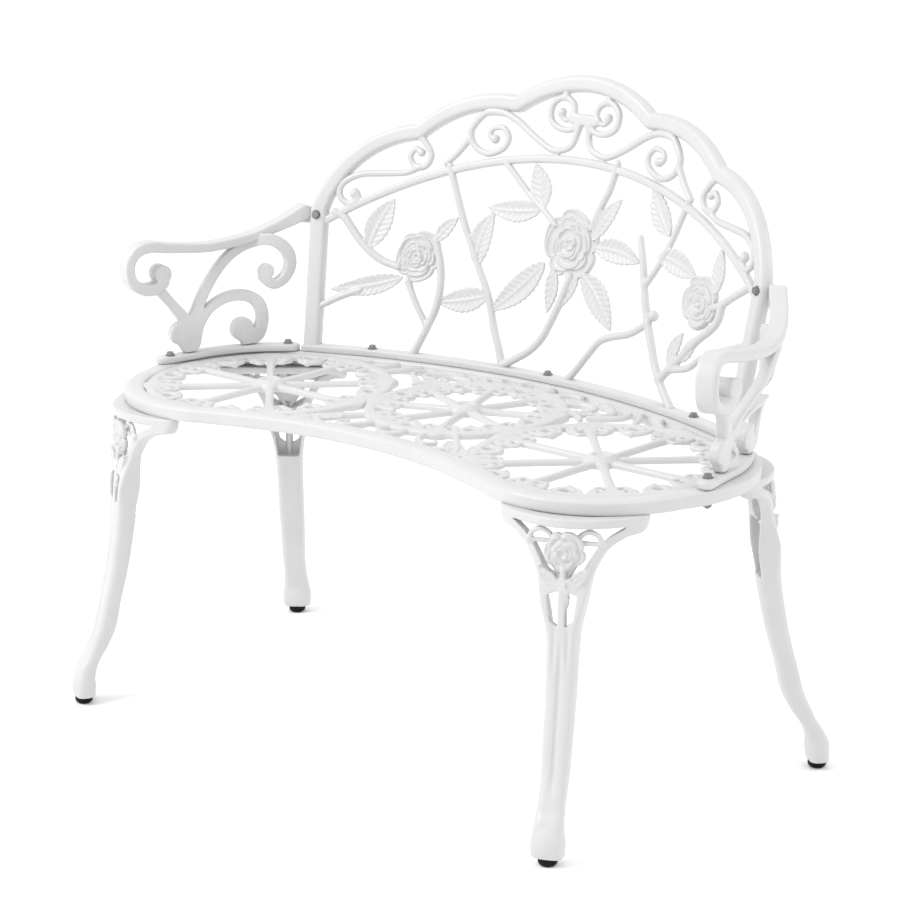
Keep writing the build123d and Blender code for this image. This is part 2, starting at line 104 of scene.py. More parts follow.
def arc(start, middle, end, count=24):
    """Points on the circle through three points, from start to end."""
    (ax, ay), (bx, by), (cx, cy) = start, middle, end
    d = 2 * (ax * (by - cy) + bx * (cy - ay) + cx * (ay - by))
    ux = ((ax**2 + ay**2) * (by - cy) + (bx**2 + by**2) * (cy - ay) + (cx**2 + cy**2) * (ay - by)) / d
    uy = ((ax**2 + ay**2) * (cx - bx) + (bx**2 + by**2) * (ax - cx) + (cx**2 + cy**2) * (bx - ax)) / d
    angles = [np.arctan2(y - uy, x - ux) for x, y in (start, middle, end)]
    turn = 2 * pi
    to_middle, to_end = (angles[1] - angles[0]) % turn, (angles[2] - angles[0]) % turn
    sweep = to_end if to_middle < to_end else to_end - turn
    t = angles[0] + sweep * np.linspace(0, 1, count)
    radius = hypot(ax - ux, ay - uy)
    return np.column_stack([ux + radius * np.cos(t), uy + radius * np.sin(t)])


def circle(centre, radius, count=72):
    """Points round a circle, closed."""
    t = np.linspace(0, 2 * pi, count + 1)
    return np.column_stack([centre[0] + radius * np.cos(t), centre[1] + radius * np.sin(t)])


def mirrored(points):
    """The same rows on the other side of the middle."""
    return [(-row[0], *row[1:]) for row in points]


def nearest(path, u, v, reach):
    """Each grid point's distance to a path, out to reach, and the path's further columns there."""
    us, vs = u.ravel(), v.ravel()
    gap = np.full((us.size, vs.size), 50.0, np.float32)
    rest = np.zeros((us.size, vs.size, path.shape[1] - 2), np.float32)
    for a, b in zip(path[:-1], path[1:]):
        i, j = (
            slice(*np.searchsorted(axis, (min(a[k], b[k]) - reach, max(a[k], b[k]) + reach)))
            for k, axis in ((0, us), (1, vs))
        )
        x, y = us[i][:, None] - a[0], vs[j][None, :] - a[1]
        along = (b - a)[:2]
        t = np.clip((x * along[0] + y * along[1]) / max(along @ along, 1e-6), 0, 1)
        away = np.hypot(x - t * along[0], y - t * along[1])
        closer = away < gap[i, j]
        gap[i, j] = np.where(closer, away, gap[i, j])
        rest[i, j] = np.where(closer[..., None], a[2:] + t[..., None] * (b - a)[2:], rest[i, j])
    return gap[..., None], [rest[..., k : k + 1] for k in range(rest.shape[2])]


def enclosed(outline, u, v):
    """True for each grid point inside a closed outline."""
    inside = np.zeros((u.size, v.size, 1), bool)
    for (ax, ay), (bx, by) in zip(outline, np.roll(outline, -1, axis=0)):
        if ay != by:
            inside ^= ((ay > v) != (by > v)) & (u < (bx - ax) * (v - ay) / (by - ay) + ax)
    return inside


class Casting:
    """A cast piece as a field over a block of grid points, positive inside."""

    def __init__(self, low, high, cell):
        self.cell = cell * COARSENESS
        self.axes = [np.arange(a, b + self.cell, self.cell, dtype=np.float32) for a, b in zip(low, high)]
        self.field = np.full([len(axis) for axis in self.axes], -20, np.float32)

    def block(self, low, high):
        """The slices of the grid between two corners, and its coordinates there."""
        where = tuple(slice(*np.searchsorted(axis, (a, b))) for axis, a, b in zip(self.axes, low, high))
        u, v, w = (axis[part] for axis, part in zip(self.axes, where))
        return where, u[:, None, None], v[None, :, None], w[None, None, :]

    def add(self, low, high, shape, blend=2.0):
        """Joins a shape on, with a fillet."""
        where, u, v, w = self.block(low, high)
        if u.size and v.size and w.size:
            self.field[where] = smooth_max(self.field[where], shape(u, v, w), blend)

    def cut(self, low, high, shape, blend=0.6):
        """Takes a shape away."""
        where, u, v, w = self.block(low, high)
        if u.size and v.size and w.size:
            self.field[where] = smooth_min(self.field[where], -shape(u, v, w), blend)

    def surface(self, rounds=2):
        """The field's zero surface as vertices and outward quads, lightly smoothed."""
        field, inside = self.field, self.field > 0
        size = np.array(field.shape)
        total = np.zeros(size - 1, np.int8)
        for corner in product((0, 1), repeat=3):
            total += inside[tuple(slice(c, n - 1 + c) for c, n in zip(corner, size))]
        active = (total > 0) & (total < 8)
        cells = np.argwhere(active)
        number = np.full(size - 1, -1, np.int32)
        number[active] = np.arange(len(cells))
        place, hits = np.zeros((len(cells), 3)), np.zeros((len(cells), 1))
        quads = []
        for axis in range(3):
            b, c = (axis + 1) % 3, (axis + 2) % 3
            step = np.eye(3, dtype=int)
            for shift in product((0, 1), repeat=2):
                corner = step[b] * shift[0] + step[c] * shift[1]
                near = field[tuple((cells + corner).T)]
                far = field[tuple((cells + corner + step[axis]).T)]
                crosses = (near > 0) != (far > 0)
                t = near[crosses] / (near[crosses] - far[crosses])
                place[crosses] += corner + t[:, None] * step[axis]
                hits[crosses] += 1
            lower = [slice(1, -1)] * 3
            upper = [slice(1, -1)] * 3
            lower[axis], upper[axis] = slice(0, -1), slice(1, None)
            lower, upper = inside[tuple(lower)], inside[tuple(upper)]
            edges = np.argwhere(lower != upper)
            outward = lower[tuple(edges.T)]
            edges += 1 - step[axis]
            ring = [edges - step[b] - step[c], edges - step[c], edges, edges - step[b]]
            faces = np.column_stack([number[tuple(cell.T)] for cell in ring])
            faces[~outward] = faces[~outward][:, ::-1]
            quads.append(faces)
        low = np.array([axis[0] for axis in self.axes])
        vertices = (cells + place / np.maximum(hits, 1)) * self.cell + low
        quads = np.vstack(quads)
        a, b = quads.ravel(), np.roll(quads, -1, axis=1).ravel()
        count = (np.bincount(a, minlength=len(vertices)) + np.bincount(b, minlength=len(vertices)))[:, None]
        for _ in range(rounds):
            sums = [
                np.bincount(
                    a, vertices[b, k], len(vertices),
                ) + np.bincount(b, vertices[a, k], len(vertices))
                for k in range(3)
            ]
            vertices = 0.5 * vertices + 0.5 * np.column_stack(sums) / np.maximum(count, 1)
        return vertices, quads


# --- Ornament, drawn on a casting -------------------------------------------------------------


def rod(casting, points, depth=0.0, flatness=1.0, blend=2.5):
    """A round bar along rows of (u, v, radius)."""
    path = curve(points)
    reach = path[:, 2].max() + 3
    low, high = path.min(0)[:2] - reach, path.max(0)[:2] + reach

    def shape(u, v, w):
        gap, (radius,) = nearest(path, u, v, reach)
        return radius - np.hypot(gap, (w - depth) / flatness)

    casting.add((*low, depth - reach * flatness), (*high, depth + reach * flatness), shape, blend)


def ball(casting, centre, radius, depth=0.0, blend=2.0):
    """A ball on the end of a scroll."""
    reach = radius + 2

    def shape(u, v, w):
        return radius - np.sqrt((u - centre[0]) ** 2 + (v - centre[1]) ** 2 + (w - depth) ** 2)

    low = (centre[0] - reach, centre[1] - reach, depth - reach)
    high = (centre[0] + reach, centre[1] + reach, depth + reach)
    casting.add(low, high, shape, blend)


def moulded(gap, w, half_width, face, front, shoulder, back):
    """A bar's section: flat on its face, sloping to its shoulders, flat behind."""
    slope = np.clip((np.abs(gap) - face) / (half_width - face), 0, 1)
    height = front - (front - shoulder) * slope**1.5
    return smooth_min(smooth_min(half_width - np.abs(gap), 0.8 * (height - w), 2.0), w - back, 1.5)


def bar(casting, path, half_width, face, front, shoulder, back, blend=2.0):
    """A moulded bar along a line of points."""
    reach = half_width + 3
    low, high = path.min(0)[:2] - reach, path.max(0)[:2] + reach

    def shape(u, v, w):
        return moulded(nearest(path, u, v, reach)[0], w, half_width, face, front, shoulder, back)

    casting.add((*low, back - 2), (*high, front + 2), shape, blend)


def leaf(casting, base, tip, width, bend=0.0, depth=1.0, thickness=4.5, blend=1.2):
    """A leaf from base to tip: a raised midrib, slanting side veins and edges that lift."""
    base, tip = np.array(base, float), np.array(tip, float)
    length = hypot(*(tip - base))
    along = (tip - base) / length
    half = width / 2
    reach = half + abs(bend) + 4
    low, high = np.minimum(base, tip) - reach, np.maximum(base, tip) + reach

    def shape(u, v, w):
        s = ((u - base[0]) * along[0] + (v - base[1]) * along[1]) / length
        inner = np.clip(s, 0, 1)
        side = (v - base[1]) * along[0] - (u - base[0]) * along[1] - bend * 4 * inner * (1 - inner)
        outline = half * np.maximum(np.sin(pi * inner**0.85), 0) ** 0.8 * (
            1 + 0.05 * np.cos(2 * pi * s * length / 9)
        )
        across = np.clip(np.abs(side) / np.maximum(outline, 0.5), 0, 1.5)
        edge = np.minimum((outline - np.abs(side)) * 0.85, np.minimum(s, 1 - s) * length + 1)
        veins = np.cos(2 * pi * (s * length - 0.8 * np.abs(side)) / 8.5)
        front = depth + 2.6 * across**1.5 + 1.6 * np.exp(-((side / 1.5) ** 2))
        front = front + 0.55 * veins * np.clip(across * 3, 0, 1) - 1.5 * inner**2
        return smooth_min(smooth_min(edge, front - w, 1.2), w - (front - thickness), 1.2)

    casting.add((*low, depth - thickness - 4), (*high, depth + 7), shape, blend)


def rose(casting, centre, radius, turn=0.0, rise=13.0, depth=-5.0, rings=6):
    """A full-blown rose: rings of overlapping wavy petals with turned lips, stepping up to a bud."""
    petals = (5, 5, 4, 4, 3, 3)
    sizes = (1.0, 0.82, 0.64, 0.48, 0.33, 0.19)

    def shape(u, v, w):
        height = depth + 4 + 0 * (u + v)
        for k in range(rings):
            lean_angle = turn + 2.4 * k
            x = u - centre[0] - 0.04 * radius * cos(lean_angle)
            y = v - centre[1] - 0.04 * radius * sin(lean_angle)
            r, angle = np.hypot(x, y), np.arctan2(y, x)
            swing = angle + turn + 1.1 * k + 0.25 * np.sin(3 * angle + k)
            lobes = np.abs(np.cos(petals[k] * swing / 2)) ** 0.5
            rim = radius * sizes[k] * (0.8 + 0.2 * lobes)
            if k == 0:
                edge = rim - r
            step = np.clip((rim - r) / 1.3, 0, 1)
            lip = np.exp(-(((r - rim + 2.2) / 1.7) ** 2))
            height = height + (rise - 4) / rings * step * (0.75 + 0.4 * lobes)
            height = height + 1.9 * lip * (0.15 + 0.85 * lobes)
            height = height - 0.9 * np.clip((rim - 4 - r) / 4, 0, 1)
        return smooth_min(smooth_min(edge, 0.75 * (height - w), 1.0), w - depth, 1.5)

    reach = radius + 4
    low = (centre[0] - reach, centre[1] - reach, depth - 2)
    high = (centre[0] + reach, centre[1] + reach, depth + rise + 6)
    casting.add(low, high, shape, 1.0)


# --- Turning castings into pieces -------------------------------------------------------------


def to_back(points):
    """From the back's flat frame (across, up, forward of the bolt line) to the bowed, leaning back."""
    x, z, forward = points.T
    root = np.sqrt(BOW_RADIUS**2 - x**2)
    normal = np.column_stack([x / root, np.ones_like(x), np.full_like(x, -LEAN_SLOPE)])
    normal /= np.linalg.norm(normal, axis=1)[:, None]
    y = rail_y - BOW_RADIUS + root + LEAN_SLOPE * (z - strip_top)
    return np.column_stack([x, y, z]) - normal * forward[:, None]


def to_plan(points):
    """From the seat's plan, centred on the rail's middle bolt, to the bench."""
    return points + np.array([0, rail_y, 0])


def at_height(height, side=1):
    """The mapping of a casting drawn in plan to a height, mirrored if side is -1."""
    return lambda points: to_plan(points * np.array([side, 1, 1])) + np.array([0, 0, height])


def piece(name, surface, place, nodes, flip=False):
    """A mesh object in the bench's frame that stands for the named CAD nodes."""
    vertices, quads = surface
    mesh = bpy.data.meshes.new(name)
    mesh.from_pydata(place(vertices) * MM, [], quads[:, ::-1] if flip else quads)
    mesh.shade_smooth()
    thing = bpy.data.objects.new(name, mesh)
    bpy.context.collection.objects.link(thing)
    thing.data.materials.append(paint)
    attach(thing, "bench")
    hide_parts(*nodes)
    return thing


# --- Materials --------------------------------------------------------------------------------


def node_material(name):
    """A material with its node tree, its Principled shader and the object's own coordinates."""
    material = bpy.data.materials.new(name)
    material.use_nodes = True
    tree = material.node_tree
    coordinates = tree.nodes.new("ShaderNodeTexCoord")
    return material, tree, tree.nodes["Principled BSDF"], coordinates.outputs["Object"]


def noise(tree, place, scale, detail=3.0, roughness=0.5):
    """A noise texture's value at a scale per metre."""
    texture = tree.nodes.new("ShaderNodeTexNoise")
    texture.inputs["Scale"].default_value = scale
    texture.inputs["Detail"].default_value = detail
    texture.inputs["Roughness"].default_value = roughness
    tree.links.new(place, texture.inputs["Vector"])
    return texture.outputs["Fac"]


def spread(tree, value, low, high):
    """A value from 0 to 1 mapped to a range."""
    mapping = tree.nodes.new("ShaderNodeMapRange")
    mapping.inputs["To Min"].default_value = low
    mapping.inputs["To Max"].default_value = high
    tree.links.new(value, mapping.inputs["Value"])
    return mapping.outputs["Result"]


def blend_colours(tree, value, low, high):
    """A colour between two, by a value from 0 to 1."""
    ramp = tree.nodes.new("ShaderNodeValToRGB")
    ramp.color_ramp.elements[0].color = (*low, 1)
    ramp.color_ramp.elements[1].color = (*high, 1)
    tree.links.new(value, ramp.inputs["Fac"])
    return ramp.outputs["Color"]


def bump(tree, shader, height, distance, strength, under=None):
    """Adds a height to a shader's surface, over an earlier bump if one is given."""
    relief = tree.nodes.new("ShaderNodeBump")
    relief.inputs["Distance"].default_value = distance
    relief.inputs["Strength"].default_value = strength
    tree.links.new(height, relief.inputs["Height"])
    if under:
        tree.links.new(under, relief.inputs["Normal"])
    tree.links.new(relief.outputs["Normal"], shader.inputs["Normal"])
    return relief.outputs["Normal"]


def make_paint():
    """Satin white powder coat over a slightly uneven cast surface."""
    material, tree, shader, place = node_material("white_powder_coat")
    patches = noise(tree, place, 18, 4)
    tree.links.new(
        blend_colours(tree, patches, (0.53, 0.53, 0.53), (0.58, 0.58, 0.58)),
        shader.inputs["Base Color"],
    )
    tree.links.new(spread(tree, noise(tree, place, 260, 3), 0.34, 0.5), shader.inputs["Roughness"])
    shader.inputs["Coat Weight"].default_value = 0.15
    shader.inputs["Coat Roughness"].default_value = 0.25
    casting_waves = bump(tree, shader, noise(tree, place, 70, 3), 0.0010, 0.35)
    bump(tree, shader, noise(tree, place, 900, 2), 0.0002, 0.3, casting_waves)
    return material


def make_zinc():
    """Dull plated steel, darker in patches."""
    material, tree, shader, place = node_material("dull_zinc")
    patches = noise(tree, place, 220, 5, 0.65)
    tree.links.new(
        blend_colours(tree, patches, (0.16, 0.16, 0.17), (0.34, 0.34, 0.35)),
        shader.inputs["Base Color"],
    )
    tree.links.new(spread(tree, noise(tree, place, 500, 3), 0.35, 0.6), shader.inputs["Roughness"])
    shader.inputs["Metallic"].default_value = 0.85
    bump(tree, shader, noise(tree, place, 1500, 3), 0.0001, 0.4)
    return material


def make_plastic():
    """Black moulded plastic with a fine grain."""
    material, tree, shader, place = node_material("black_plastic")
    patches = noise(tree, place, 160, 3)
    tree.links.new(
        blend_colours(tree, patches, (0.002, 0.002, 0.002), (0.006, 0.006, 0.006)),
        shader.inputs["Base Color"],
    )
    tree.links.new(spread(tree, noise(tree, place, 700, 3), 0.5, 0.7), shader.inputs["Roughness"])
    shader.inputs["Specular IOR Level"].default_value = 0.15
    bump(tree, shader, noise(tree, place, 1800, 2), 0.0001, 0.5)
    return material


paint, zinc, plastic = make_paint(), make_zinc(), make_plastic()
finishes = {"white_paint": paint, "plated_steel": zinc, "black_plastic": plastic}
for part in frame["record"]["subparts"]:
    node = frame["nodes"][part["node"]]
    node.data.materials.clear()
    node.data.materials.append(finishes[part["material_slot"]])

# --- Seat -------------------------------------------------------------------------------------

RIM_WIDTH = 26
LATTICE_DEPTH = 9
LATTICE_TOP = seat_top - 2
LATTICE_CELL = 1.35  # grid spacing for the lattice
SIDE_MEDALLION, MIDDLE_MEDALLION = (290, -240), (0, -165)
SIDE_RADIUS, MIDDLE_RADIUS = 168, 134
RING_WIDTH = 14
SIDE_CURLS_FROM, MIDDLE_CURLS_TO = 180, 200  # which curls the side and middle pieces carry

half_seat = np.vstack(
    [
        arc((0, -358), (100, -366), (190, -390), 20),
        arc((190, -390), (226, -402), (262, -417), 6),
        arc((262, -417), (378, -413), (470, -305), 30),
        arc((470, -305), (485, -215), (414, -91), 26),
        arc((414, -91), (213, -14), (0, 12), 40),
    ]
)
seat_outline = np.vstack([half_seat, half_seat[::-1] * (-1, 1)])


def make_seat_rim():
    """The rolled edge of the seat: a flat top with a small step outside and a plain upright side."""
    casting = Casting((-492, -428, -22), (492, 22, 4), 1.7)

    def shape(u, v, w):
        gap, _ = nearest(seat_outline, u, v, RIM_WIDTH + 4)
        inward = np.where(enclosed(seat_outline, u, v), gap, -gap)
        step = 1.6 * np.clip((5.2 - inward) / 1.0, 0, 1)
        slope = 0.28 * np.clip(inward - 19, 0, 9)
        ridge = smooth_min(inward, RIM_WIDTH - inward, 4)
        return smooth_min(smooth_min(ridge, -(w + step + slope), 2.0), w + seat_top - seat_bottom, 2.5)

    whole = (-500, -440, -30), (500, 40, 10)
    casting.add(*whole, shape)
    piece("seat_rim", casting.surface(), at_height(seat_top), ["seat"])


def band(casting, points, front, back, bevel=1.5, blend=2.0, closed_curve=False):
    """A flat-faced band along rows of (u, v, half width), lying between two depths."""
    path = np.array(points, float) if closed_curve else curve(points)
    reach = path[:, 2].max() + 3
    low, high = path.min(0)[:2] - reach, path.max(0)[:2] + reach

    def shape(u, v, w):
        gap, (half,) = nearest(path, u, v, reach)
        inward = half - gap
        height = front - bevel * np.clip(1 - inward / 3.0, 0, 1)
        return smooth_min(smooth_min(inward, height - w, 1.8), w - back, 1.8)

    casting.add((*low, back - 2), (*high, front + 2), shape, blend)


def ring(casting, centre, radius, half_width, front, back, bevel=1.5):
    """A flat-faced ring."""
    line = circle(centre, radius)
    path = np.column_stack([line, np.full(len(line), half_width)])
    band(casting, path, front, back, bevel, closed_curve=True)


def disc(casting, centre, radius, front, back, dome=0.0):
    """A round plate with a domed face."""

    def shape(u, v, w):
        r = np.hypot(u - centre[0], v - centre[1])
        height = front + dome * (1 - np.clip(r / radius, 0, 1) ** 2)
        return smooth_min(smooth_min(radius - r, height - w, 1.5), w - back, 1.5)

    reach = radius + 3
    low = (centre[0] - reach, centre[1] - reach, back - 2)
    casting.add(low, (centre[0] + reach, centre[1] + reach, front + dome + 3), shape)


def turned(centre, points, angle):
    """Rows drawn for a spoke along +u, turned about a centre."""
    c, s = cos(angle), sin(angle)
    x, y = centre
    return [(x + c * u - s * v, y + s * u + c * v, *rest) for u, v, *rest in points]


def medallion(casting, centre, radius, first_spoke):
    """A ring, hub and eight flared spokes, with lace of eyelets and curls along the ring."""
    inner = radius - RING_WIDTH
    ring(casting, centre, radius - RING_WIDTH / 2, 7.5, 0, -LATTICE_DEPTH)
    for k in range(8):
        angle = first_spoke + k * pi / 4
        spoke = [
            (12, 0, 9.5), (32, 0, 6.2), (inner * 0.55, 0, 5.4), (inner * 0.78, 0, 6.4),
            (inner - 12, 0, 10), (inner + 4, 0, 17),
        ]
        band(casting, turned(centre, spoke, angle), -0.5, -LATTICE_DEPTH, bevel=2.2, blend=5)
        for side in (-1, 1):
            eye = turned(centre, [(inner - 10, 0)], angle + side * 21 / inner)[0]
            ring(casting, eye, 8.5, 3.3, -0.5, -LATTICE_DEPTH + 1)
            curl = [
                (inner - 30, side * 9, 3), (inner - 32, side * 17, 3.2), (inner - 22, side * 22, 3.4),
                (inner - 6, side * 21, 3.6),
            ]
            rod(casting, turned(centre, curl, angle), -4, 0.9)
        scallop = angle + pi / 8
        eye = turned(centre, [(inner - 8, 0)], scallop)[0]
        ring(casting, eye, 11, 3.6, -0.5, -LATTICE_DEPTH + 1)
        ball(casting, turned(centre, [(inner - 23, 0)], scallop)[0], 5.5, -4)
        for side in (-1, 1):
            curl = [(inner - 24, side * 4, 3), (inner - 19, side * 13, 3.2), (inner - 4, side * 20, 3.6)]
            rod(casting, turned(centre, curl, scallop), -4, 0.9)
    disc(casting, centre, 21, 1.5, -LATTICE_DEPTH, 1.0)
    ring(casting, centre, 13, 4.5, 5, -LATTICE_DEPTH)


# Curls and leaves between the rings and the rim, right-hand side: rows of (u, v, half width)
seat_curls = [
    [(14, -292, 4), (16, -312, 4.5), (4, -326, 4), (-6, -316, 3)],
    [(44, -288, 4), (52, -312, 5), (70, -328, 4.5), (84, -318, 3.5), (76, -308, 3)],
    [(78, -270, 4), (98, -292, 5), (120, -314, 4.5), (132, -332, 4)],
    [(96, -338, 4), (112, -330, 4.5), (118, -318, 3.5), (108, -312, 3)],
    [(134, -300, 4), (146, -326, 5), (162, -352, 4.5), (150, -360, 3.5)],
    [(158, -340, 4), (180, -356, 4.5), (200, -372, 4)],
    [(20, -36, 4), (26, -20, 4.5), (14, -12, 3.5)],
    [(48, -42, 4), (60, -26, 4.5), (78, -22, 4), (84, -34, 3)],
    [(84, -62, 4), (104, -50, 5), (126, -52, 4.5), (132, -66, 3.5), (120, -70, 3)],
    [(96, -84, 4), (124, -92, 5), (146, -108, 4.5)],
    [(122, -34, 4), (146, -44, 5), (164, -62, 4.5), (154, -76, 3.5), (142, -68, 3)],
    [(150, -96, 4), (168, -84, 4.5), (184, -66, 4), (180, -46, 3.5), (166, -44, 3)],
    [(196, -42, 4), (206, -62, 4.5), (216, -84, 4)],
    [(232, -40, 4), (240, -62, 4.5), (254, -74, 4)],
    [(268, -46, 4), (276, -60, 4), (292, -70, 4)],
    [(316, -60, 4), (332, -70, 4), (346, -76, 4)],
    [(352, -72, 4), (364, -86, 4), (382, -98, 4)],
]
seat_leaves = [((104, -106), (150, -72), 24), ((60, -56), (104, -34), 20), ((92, -300), (150, -344), 26)]


def make_seat_lattice():
    """The openwork inside the rim: a medallion at each side and one in the middle, tied by curls."""
    low, high = (112, -412, -12), (468, -20, 8)
    for hand, side in (("left", -1), ("right", 1)):
        start = low if side > 0 else (-high[0], *low[1:])
        end = high if side > 0 else (-low[0], *high[1:])
        casting = Casting(start, end, LATTICE_CELL)
        medallion(casting, (side * SIDE_MEDALLION[0], SIDE_MEDALLION[1]), SIDE_RADIUS, 0)
        for curl in seat_curls:
            if curl[0][0] > SIDE_CURLS_FROM:
                rod(casting, [(side * u, v, r) for u, v, r in curl], -4)
        piece(f"seat_lattice_{hand}", casting.surface(), at_height(LATTICE_TOP), ["seat"])
    casting = Casting((-216, -384, -12), (216, 10, 8), LATTICE_CELL)
    medallion(casting, MIDDLE_MEDALLION, MIDDLE_RADIUS, radians(22.5))
    for side in (-1, 1):
        for curl in seat_curls:
            if curl[0][0] <= MIDDLE_CURLS_TO:
                rod(casting, [(side * u, v, r) for u, v, r in curl], -4)
        for base, tip, width in seat_leaves:
            leaf(casting, (side * base[0], base[1]), (side * tip[0], tip[1]), width, depth=-3)
    piece("seat_lattice_middle", casting.surface(), at_height(LATTICE_TOP), ["seat"])


# --- Back -------------------------------------------------------------------------------------

BACK_RIM_WIDTH = 23
POST_FOOT = 430  # the posts end inside the strip

half_back = np.vstack(
    [
        arc((0, 830), (60, 821), (117, 794), 24),
        arc((117, 794), (196, 785), (264, 745), 24),
        arc((264, 745), (350, 704), (395, 621), 24),
        [(378, 405)],
    ]
)
back_outline = np.vstack([half_back, half_back[::-1] * (-1, 1)])


def make_back_rim():
    """The lobed frame and posts: a flat raised face with sloping edges."""
    casting = Casting((-404, 426, -14), (404, 836, 10), 1.6)

    def shape(u, v, w):
        gap, _ = nearest(back_outline, u, v, BACK_RIM_WIDTH + 4)
        inward = np.where(enclosed(back_outline, u, v), gap, -gap)
        centred = inward - BACK_RIM_WIDTH / 2
        section = moulded(centred, w, BACK_RIM_WIDTH / 2, 6.5, 6.5, 1.0, -10.5)
        return np.minimum(section, v - POST_FOOT)

    casting.add((-500, 400, -30), (500, 900, 30), shape)
    piece("back_rim", casting.surface(), to_back, ["back"], flip=True)


def make_back_rail():
    """The bowed flat strip that the back stands on."""
    casting = Casting((-384, -94, -3), (384, 16, 13), 1.7)
    across = np.linspace(-378, 378, 64)
    path = np.column_stack([across, np.sqrt(BOW_RADIUS**2 - across**2) - BOW_RADIUS + 0.5])

    def shape(u, v, w):
        gap, _ = nearest(path, u, v, 14)
        section = smooth_min(9.5 - gap, STRIP_THICKNESS - w, 1.6)
        return smooth_min(section, smooth_min(w, 378.5 - np.abs(u), 1), 1)

    casting.add((-400, -110, -5), (400, 30, 15), shape)
    piece("back_rail", casting.surface(), at_height(seat_top), ["back"])


# Scrolls of the crest, right-hand side: rows of (across, up, radius)
crest_scrolls = [
    [
        (8, 762, 5), (15, 738, 4.5), (30, 729, 4.5), (50, 728, 4.5), (80, 742, 4.8), (110, 760, 5),
        (135, 769, 5), (158, 768, 5),
    ],
    [
        (135, 769, 4.5), (160, 768, 5), (181, 742, 4.8), (172, 721, 4.6), (150, 713, 4.5),
        (127, 722, 4.4), (121, 737, 4.2), (132, 749, 4), (148, 746, 3.6), (151, 737, 3.8),
        (143, 732, 4.5),
    ],
    [(182, 730, 4.8), (196, 711, 4.8), (212, 695, 4.8)],
    [
        (262, 733, 5), (246, 719, 4.6), (236, 703, 4.5), (243, 688, 4.5), (258, 688, 4.2),
        (267, 700, 4), (259, 711, 4), (250, 706, 4.2),
    ],
    [
        (250, 687, 4.5), (270, 678, 4.5), (300, 675, 5), (335, 671, 5), (357, 657, 4.8),
        (358, 640, 4.4), (345, 631, 4.2), (333, 640, 4.5), (338, 648, 4.5),
    ],
    [
        (8, 766, 4.5), (20, 757, 4.2), (38, 756, 4.5), (56, 766, 4.5), (57, 786, 4.5), (40, 798, 4.5),
        (22, 790, 4.2), (20, 776, 4), (32, 768, 3.6), (42, 775, 4),
    ],
    [(37, 797, 4.5), (37, 812, 5)],
]
# Stems, across the whole back: rows of (across, up, radius)
stems = [
    [
        (-362, 618, 5), (-348, 612, 5), (-338, 600, 5), (-322, 582, 5), (-305, 567, 5), (-285, 556, 5),
        (-262, 550, 5),
    ],
    [(-368, 486, 4.5), (-340, 502, 4.5), (-312, 514, 4)],
    [
        (-212, 592, 4), (-200, 560, 5), (-195, 530, 5), (-197, 500, 5), (-205, 475, 5), (-215, 450, 5),
        (-222, 434, 5.5),
    ],
    [(-245, 532, 4.5), (-230, 505, 4), (-208, 474, 4)],
    [
        (-206, 692, 4.5), (-185, 645, 4.5), (-168, 610, 4.5), (-150, 580, 4.5), (-138, 558, 4.5),
        (-118, 525, 4.5), (-100, 480, 5), (-90, 460, 5), (-79, 434, 5.5),
    ],
    [(-120, 704, 4), (-96, 684, 4), (-72, 664, 4), (-45, 646, 4), (-24, 630, 4)],
    [(38, 634, 4.5), (52, 668, 4.5), (62, 690, 4.5), (68, 722, 4.5)],
    [(14, 566, 5), (2, 530, 5), (-8, 505, 5), (-20, 480, 5), (-38, 461, 5), (-58, 448, 5), (-78, 436, 5)],
    [
        (35, 434, 5), (50, 452, 4.5), (65, 472, 4.5), (82, 492, 4.5), (105, 502, 4.5), (135, 511, 4.5),
        (166, 530, 4.5),
    ],
    [
        (129, 634, 4), (142, 598, 4.5), (150, 570, 4.8), (159, 545, 5), (168, 525, 5), (178, 505, 5),
        (190, 482, 5), (210, 456, 5), (233, 434, 5.5),
    ],
    [(208, 690, 4), (195, 655, 4), (185, 632, 4), (172, 608, 4), (153, 580, 4)],
    [(288, 572, 4.5), (306, 580, 4.5), (325, 592, 4.5), (362, 614, 4.5)],
    [
        (306, 578, 5), (303, 560, 5), (290, 545, 5), (270, 530, 5), (250, 511, 5), (232, 493, 5),
        (202, 464, 5),
    ],
    [(216, 480, 4), (236, 484, 4), (258, 491, 4), (280, 507, 4), (318, 524, 4), (366, 542, 4)],
]
# Leaves: base, tip, width, and how far the middle bends to the left of the way it points
leaves = [
    ((-308, 572), (-281, 642), 36, 3),
    ((-212, 588), (-182, 624), 20, 2),
    ((-252, 536), (-354, 512), 28, 4),
    ((-116, 526), (-197, 508), 34, 3),
    ((-143, 562), (-127, 637), 34, 7),
    ((-50, 648), (-139, 642), 30, 4),
    ((-48, 648), (-72, 707), 34, -3),
    ((44, 618), (85, 678), 24, 3),
    ((48, 610), (134, 602), 32, 4),
    ((-32, 580), (-114, 504), 36, 4),
    ((-16, 576), (-18, 514), 22, 2),
    ((28, 568), (0, 521), 20, -2),
    ((34, 574), (98, 508), 38, 4),
    ((184, 644), (139, 702), 34, 4),
    ((168, 617), (246, 601), 32, 4),
    ((288, 588), (289, 647), 26, -2),
    ((216, 486), (236, 532), 20, 2),
    ((238, 494), (263, 532), 18, -2),
]
PAINT_COAT = 0.5  # thickness the paint adds to a stem
roses = [("left", -236, 566, 36, 0.2), ("middle", 6, 607, 48, 0.9), ("right", 260, 572, 36, 1.6)]


